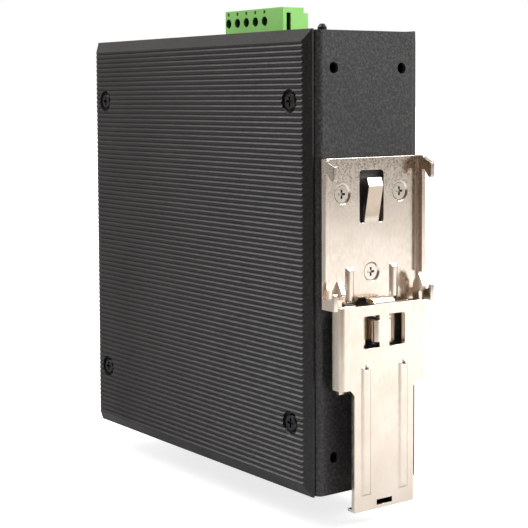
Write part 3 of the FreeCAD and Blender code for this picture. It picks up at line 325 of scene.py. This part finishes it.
def grooved_coat(name, base):
    """The covers' coat: dark lands, with a painted highlight on the upper flank of each groove
    and on the edges, stronger towards the clip.
    """
    shade = Shader(name)
    skin = shade.noise(1500, detail=3.0, roughness=0.6)
    near_clip = shade.span(shade.axis("Y"), *CLIPWARD_DEPTH, 0, 1)
    grainy = shade.ramp(skin, (0.38, times(base, 0.5)), (0.5, base), (0.66, times(base, 2.4)))
    # The lands are paler and plainer away from the clip.
    land = shade.mix(near_clip, times(base, 1.8), grainy)
    # Painted highlight: the upward flank of each groove is made pale, far more towards the clip.
    upward = shade.add("ShaderNodeSeparateXYZ")
    shade.link(shade.add("ShaderNodeNewGeometry").outputs["True Normal"], upward.inputs["Vector"])
    flank = shade.span(upward.outputs["Z"], 0.56, 0.59, 0, 1)
    highlight_breakup = shade.span(shade.noise(1500, detail=3.0, scale=(1, 0.3, 1)), 0.3, 0.7, 0.5, 1.0)
    flank_highlight = shade.mix(near_clip, times(base, 3.0), times(base, 26.0))
    tint = shade.mix(shade.product(flank, highlight_breakup), land, flank_highlight)
    # Painted highlight: edges towards the clip are made paler.
    edges = shade.product(shade.edge_wear_and_highlight(0.12 * MM), near_clip)
    tint = shade.mix(edges, tint, times(base, 12.0))
    rough = shade.span(shade.noise(60, detail=3.0), 0.3, 0.7, 0.40, 0.50)
    return shade.finish(tint, rough, shade.bump(skin, 0.1 * MM, 0.7))


def moulding(name, base, rough, hollow_shade=0.0):
    """Moulded plastic or resin with a fine skin, slight colour drift, painted highlights on edges
    and painted shade in hollows.
    """
    shade = Shader(name)
    cloud = shade.noise(80, detail=3.0)
    tint = shade.ramp(cloud, (0.3, times(base, 0.88)), (0.7, times(base, 1.08)))
    # Painted highlight: the edges are made paler.
    tint = shade.mix(shade.edge_wear_and_highlight(0.2 * MM), tint, times(base, 1.3, lift=0.03))
    # Painted shade: the hollows are darkened nearly to black.
    if hollow_shade:
        tint = shade.mix(shade.crevice_shade(hollow_shade), tint, times(base, 0.08))
    roughness = shade.span(cloud, 0.3, 0.7, rough - 0.06, rough + 0.08)
    skin = shade.bump(shade.noise(900, detail=2.0), 0.05 * MM, 0.35)
    return shade.finish(tint, roughness, skin)


def make_materials():
    """A material for each slot of the model."""
    return {
        "cover_black": grooved_coat("cover black coat", (0.0065, 0.0065, 0.0064)),
        "case_black": powder_coat("case black coat", (0.021, 0.0205, 0.021)),
        "screw_black": plated_steel("blackened screw", (0.055, 0.055, 0.06), 0.3, 0.45),
        "screw_steel": plated_steel("zinc screw", (0.84, 0.76, 0.67), 0.14, 0.26),
        "nickel_sheet": nickel_plate("nickel sheet"),
        "spring_steel": plated_steel("spring wire", (0.5, 0.5, 0.5)),
        "board_green": moulding("solder mask", (0.02, 0.12, 0.05), 0.3),
        "brass": plated_steel("turned brass", (0.75, 0.58, 0.28)),
        "gold_contact": plated_steel("gold contact", (0.9, 0.66, 0.28)),
        "lamp_holder": moulding("lamp holder", (0.02, 0.02, 0.02), 0.45),
        "lamp_lens": moulding("lamp lens", (0.35, 0.6, 0.28), 0.2),
        "chip_black": moulding("chip package", (0.03, 0.03, 0.03), 0.5),
        "thermal_grey": moulding("gap filler", (0.4, 0.43, 0.47), 0.7),
        "can_steel": plated_steel("drawn can", (0.7, 0.7, 0.72)),
        "ferrite": moulding("ferrite", (0.05, 0.05, 0.055), 0.55),
        "relay_plastic": moulding("relay case", (0.03, 0.032, 0.04), 0.25),
        "terminal_green": moulding("terminal green", (0.33, 0.76, 0.19), 0.38, hollow_shade=3.5 * MM),
        "tinned_pin": plated_steel("tinned pin", (0.75, 0.75, 0.75)),
        "jack_shell": plated_steel("tinned shield", (0.66, 0.66, 0.66)),
    }


# ---- pieces ------------------------------------------------------------------

def new_object(name, data):
    """An object in the scene's own collection."""
    thing = bpy.data.objects.new(name, data)
    bpy.context.scene.collection.objects.link(thing)
    return thing


def rib_zone(side, crest, height):
    """The box round the crests of a pair of ribs."""
    return (side, (crest - CREST_MARGIN, crest + CREST_MARGIN), height)


def rib_edges(shape, zone):
    """The crest edges of pressed ribs, mirrored about x = 0, in a zone of x, y and z."""
    def inside(vertex):
        place = (abs(vertex.co.x), vertex.co.y, vertex.co.z)
        return all(low <= part <= high for part, (low, high) in zip(place, zone))

    return [edge for edge in shape.edges if all(inside(vertex) for vertex in edge.verts)]


def add_bevel(piece, width, segments, method):
    """Round the weighted edges, or every edge that turns sharply."""
    bevel = piece.modifiers.new("round", "BEVEL")
    bevel.width = width
    bevel.segments = segments
    bevel.limit_method = method
    bevel.angle_limit = SHARP_TURN
    bevel.use_clamp_overlap = False


def rounded_copy(node, width, zone=None, rib_width=0.0):
    """A copy of a CAD node with its sharp edges broken and its ribs softened."""
    mesh = frame["nodes"][node].data.copy()
    shape = bmesh.new()
    shape.from_mesh(mesh)
    bmesh.ops.remove_doubles(shape, verts=shape.verts, dist=MERGE_DISTANCE)
    bmesh.ops.dissolve_limit(
        shape, angle_limit=FLAT_TURN, verts=shape.verts, edges=shape.edges)
    if zone:
        weight = shape.edges.layers.float.new("bevel_weight_edge")
        for edge in rib_edges(shape, zone):
            edge[weight] = 1.0
    shape.to_mesh(mesh)
    shape.free()
    for face in mesh.polygons:
        face.use_smooth = True
    piece = new_object(node + "_finish", mesh)
    if zone:
        add_bevel(piece, rib_width, 3, "WEIGHT")
    add_bevel(piece, width, 2, "ANGLE")
    flats = piece.modifiers.new("flat faces", "WEIGHTED_NORMAL")
    flats.weight = 100
    bpy.context.view_layer.update()
    evaluated = piece.evaluated_get(bpy.context.evaluated_depsgraph_get())
    piece.data = bpy.data.meshes.new_from_object(evaluated)
    piece.modifiers.clear()
    return piece


def coil_spring():
    """A round-wire coil with closed ends, for the faceted spring behind the slider."""
    low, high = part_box("slider_spring")
    wire = SPRING_WIRE / 2
    radius = (high.x - low.x) / 2 - wire
    rise = high.z - low.z - 2 * wire
    middle = (low.y + high.y) / 2
    turns, steps, sides = 9, 20, 8
    closed = 2 * wire
    pitch = (rise - 2 * closed) / (turns - 2)
    points = []
    for step in range(turns * steps + 1):
        turn = step / steps
        climb = closed * min(turn, 1) + pitch * min(max(turn - 1, 0), turns - 2)
        climb += closed * max(turn - turns + 1, 0)
        around = 2 * math.pi * turn
        for side in range(sides):
            angle = 2 * math.pi * side / sides
            reach = radius + wire * math.cos(angle)
            height = low.z + wire + climb + wire * math.sin(angle)
            points.append((reach * math.cos(around), middle + reach * math.sin(around), height))
    faces = [list(range(sides)), list(range(len(points) - sides, len(points)))]
    for ring in range(0, len(points) - sides, sides):
        for side in range(sides):
            after = (side + 1) % sides
            faces.append((ring + side, ring + after, ring + sides + after, ring + sides + side))
    mesh = bpy.data.meshes.new("slider_coil")
    mesh.from_pydata(points, [], faces)
    shape = bmesh.new()
    shape.from_mesh(mesh)
    bmesh.ops.recalc_face_normals(shape, faces=shape.faces)
    shape.to_mesh(mesh)
    shape.free()
    for face in mesh.polygons[2:]:
        face.use_smooth = True
    return new_object("slider_coil", mesh)


def dress_piece(piece, node, body, material):
    """Finish a scene piece, and let it stand for the CAD node on the same body."""
    piece.data.materials.clear()
    piece.data.materials.append(material)
    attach(piece, body)
    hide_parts(node)


def dress_nodes(materials):
    """Give each CAD node its material, and the seen sheets their rounded edges."""
    record = frame["record"]
    slots = {entry["node"]: entry["material_slot"] for entry in record["subparts"]}
    members = record["behaviour"]["bodies"].items()
    bodies = {node: body for body, nodes in members for node in nodes}
    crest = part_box("rail_bracket")[0].y + SHEET + RIB_RISE
    bracket_ribs = rib_zone(BRACKET_RIB_SIDE, crest, BRACKET_RIB_HEIGHT)
    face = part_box("release_slider")[1].y
    slider_ribs = rib_zone(SLIDER_RIB_SIDE, face, SLIDER_RIB_HEIGHT)
    rounded = {
        "rail_bracket": (BROKEN_EDGE, bracket_ribs, BRACKET_RIB_ROUND),
        "release_slider": (BROKEN_EDGE, slider_ribs, SLIDER_RIB_ROUND),
        "terminal_plug": (PLUG_EDGE,),
    }
    # The frame screws are shown blackened, although their slot is screw_steel.
    finishes = {node: materials[slot] for node, slot in slots.items()}
    finishes["frame_screws"] = materials["screw_black"]
    for node, thing in frame["nodes"].items():
        slot = slots[node]
        thing.data.materials.clear()
        thing.data.materials.append(finishes[node])
        if node in rounded:
            piece = rounded_copy(node, *rounded[node])
            dress_piece(piece, node, bodies[node], materials[slot])
    spring = coil_spring()
    slot = slots["slider_spring"]
    dress_piece(spring, "slider_spring", bodies["slider_spring"], materials[slot])
    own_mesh(spring)


# ---- stage -------------------------------------------------------------------

def add_camera():
    """A long lens above the clip's side, turned by its azimuth, drop and roll."""
    ahead = Vector((
        -math.sin(CAMERA_AZIMUTH) * math.cos(CAMERA_DROP),
        -math.cos(CAMERA_AZIMUTH) * math.cos(CAMERA_DROP),
        -math.sin(CAMERA_DROP),
    ))
    level = ahead.cross(Vector((0, 0, 1))).normalized()
    upright = level.cross(ahead)
    right = level * math.cos(CAMERA_ROLL) + upright * math.sin(CAMERA_ROLL)
    up = upright * math.cos(CAMERA_ROLL) - level * math.sin(CAMERA_ROLL)
    data = bpy.data.cameras.new("camera")
    data.sensor_width = 36
    data.lens = CAMERA_LENS
    data.shift_x, data.shift_y = CAMERA_SHIFT
    camera = new_object("camera", data)
    turn = Matrix((right, up, -ahead)).transposed().to_4x4()
    camera.matrix_world = Matrix.Translation(CAMERA_PLACE) @ turn
    bpy.context.scene.camera = camera


def softbox(name, place, side, watts):
    """A square area lamp that points at the rail seat."""
    data = bpy.data.lights.new(name, "AREA")
    data.shape = "RECTANGLE"
    data.size = data.size_y = side
    data.energy = watts
    lamp = new_object(name, data)
    lamp.location = place
    lamp.rotation_euler = (-Vector(place)).to_track_quat("-Z", "Y").to_euler()


def add_lights():
    """A large lamp overhead, and a small one on the clip's side."""
    softbox("overhead softbox", (0.35, -0.35, 1.0), 0.8, 7.0)
    softbox("clip softbox", (-0.52, 0.5, 0.52), 0.4, 7.0)


def add_world():
    """White to the camera, even soft light, and a studio with a dim side for the gloss."""
    world = bpy.data.worlds.new("studio")
    bpy.context.scene.world = world
    world.use_nodes = True
    sky = Network(world.node_tree, "Generated")
    side = sky.span(sky.facing(DIM_SIDE), -1, 1, 0, 1)
    room = sky.ramp(side, (0.35, (0.8, 0.75, 0.71)), (0.62, 0.45), (0.85, DIM_TINT))
    around = sky.mix(sky.light_path("Is Glossy Ray"), EVEN_LIGHT, room)
    seen = sky.mix(sky.light_path("Is Camera Ray"), around, 1.0)
    sky.link(seen, world.node_tree.nodes["Background"].inputs["Color"])


def add_floor():
    """A pale floor under the open slider, white to the camera but for the shadow, with painted
    shade on its dim and far sides in reflections.
    """
    lowest = min(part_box(node)[0].z for node in ("left_cover", "release_slider"))
    level = lowest - SLIDE_TRAVEL
    quarters = ((-1, -1), (1, -1), (1, 1), (-1, 1))
    corners = [(x * FLOOR_REACH, y * FLOOR_REACH, level) for x, y in quarters]
    mesh = bpy.data.meshes.new("floor")
    mesh.from_pydata(corners, [], [(0, 1, 2, 3)])
    floor = new_object("floor", mesh)
    shade = Shader("floor white")
    distance = shade.add("ShaderNodeVectorMath", operation="LENGTH")
    shade.link(shade.place, distance.inputs[0])
    glow = shade.ramp(distance.outputs["Value"], *FLOOR_GLOW)
    seen = shade.mix(shade.light_path("Is Camera Ray"), 0.0, glow)
    shade.link(seen, shade.principled.inputs["Emission Color"])
    shade.set(Roughness=0.6, Emission_Strength=1.0)
    paper = shade.ramp(shade.noise(3, detail=2.0), (0.3, 0.78), (0.7, 0.82))
    # Painted shade: in reflections the floor is darker on the dim side and the far side.
    dim_side = shade.span(shade.facing(DIM_SIDE), 0.15, 0.5, 0, 1)
    far_side = shade.span(shade.axis("Y"), 0.1, -0.2, 0, 1)
    gloss = shade.mix(dim_side, shade.mix(far_side, paper, 0.4), DIM_TINT)
    tint = shade.mix(shade.light_path("Is Glossy Ray"), paper, gloss)
    floor.data.materials.append(shade.finish(tint))


bpy.context.scene.view_settings.view_transform = "Standard"
add_camera()
add_world()
add_lights()
add_floor()
dress_nodes(make_materials())
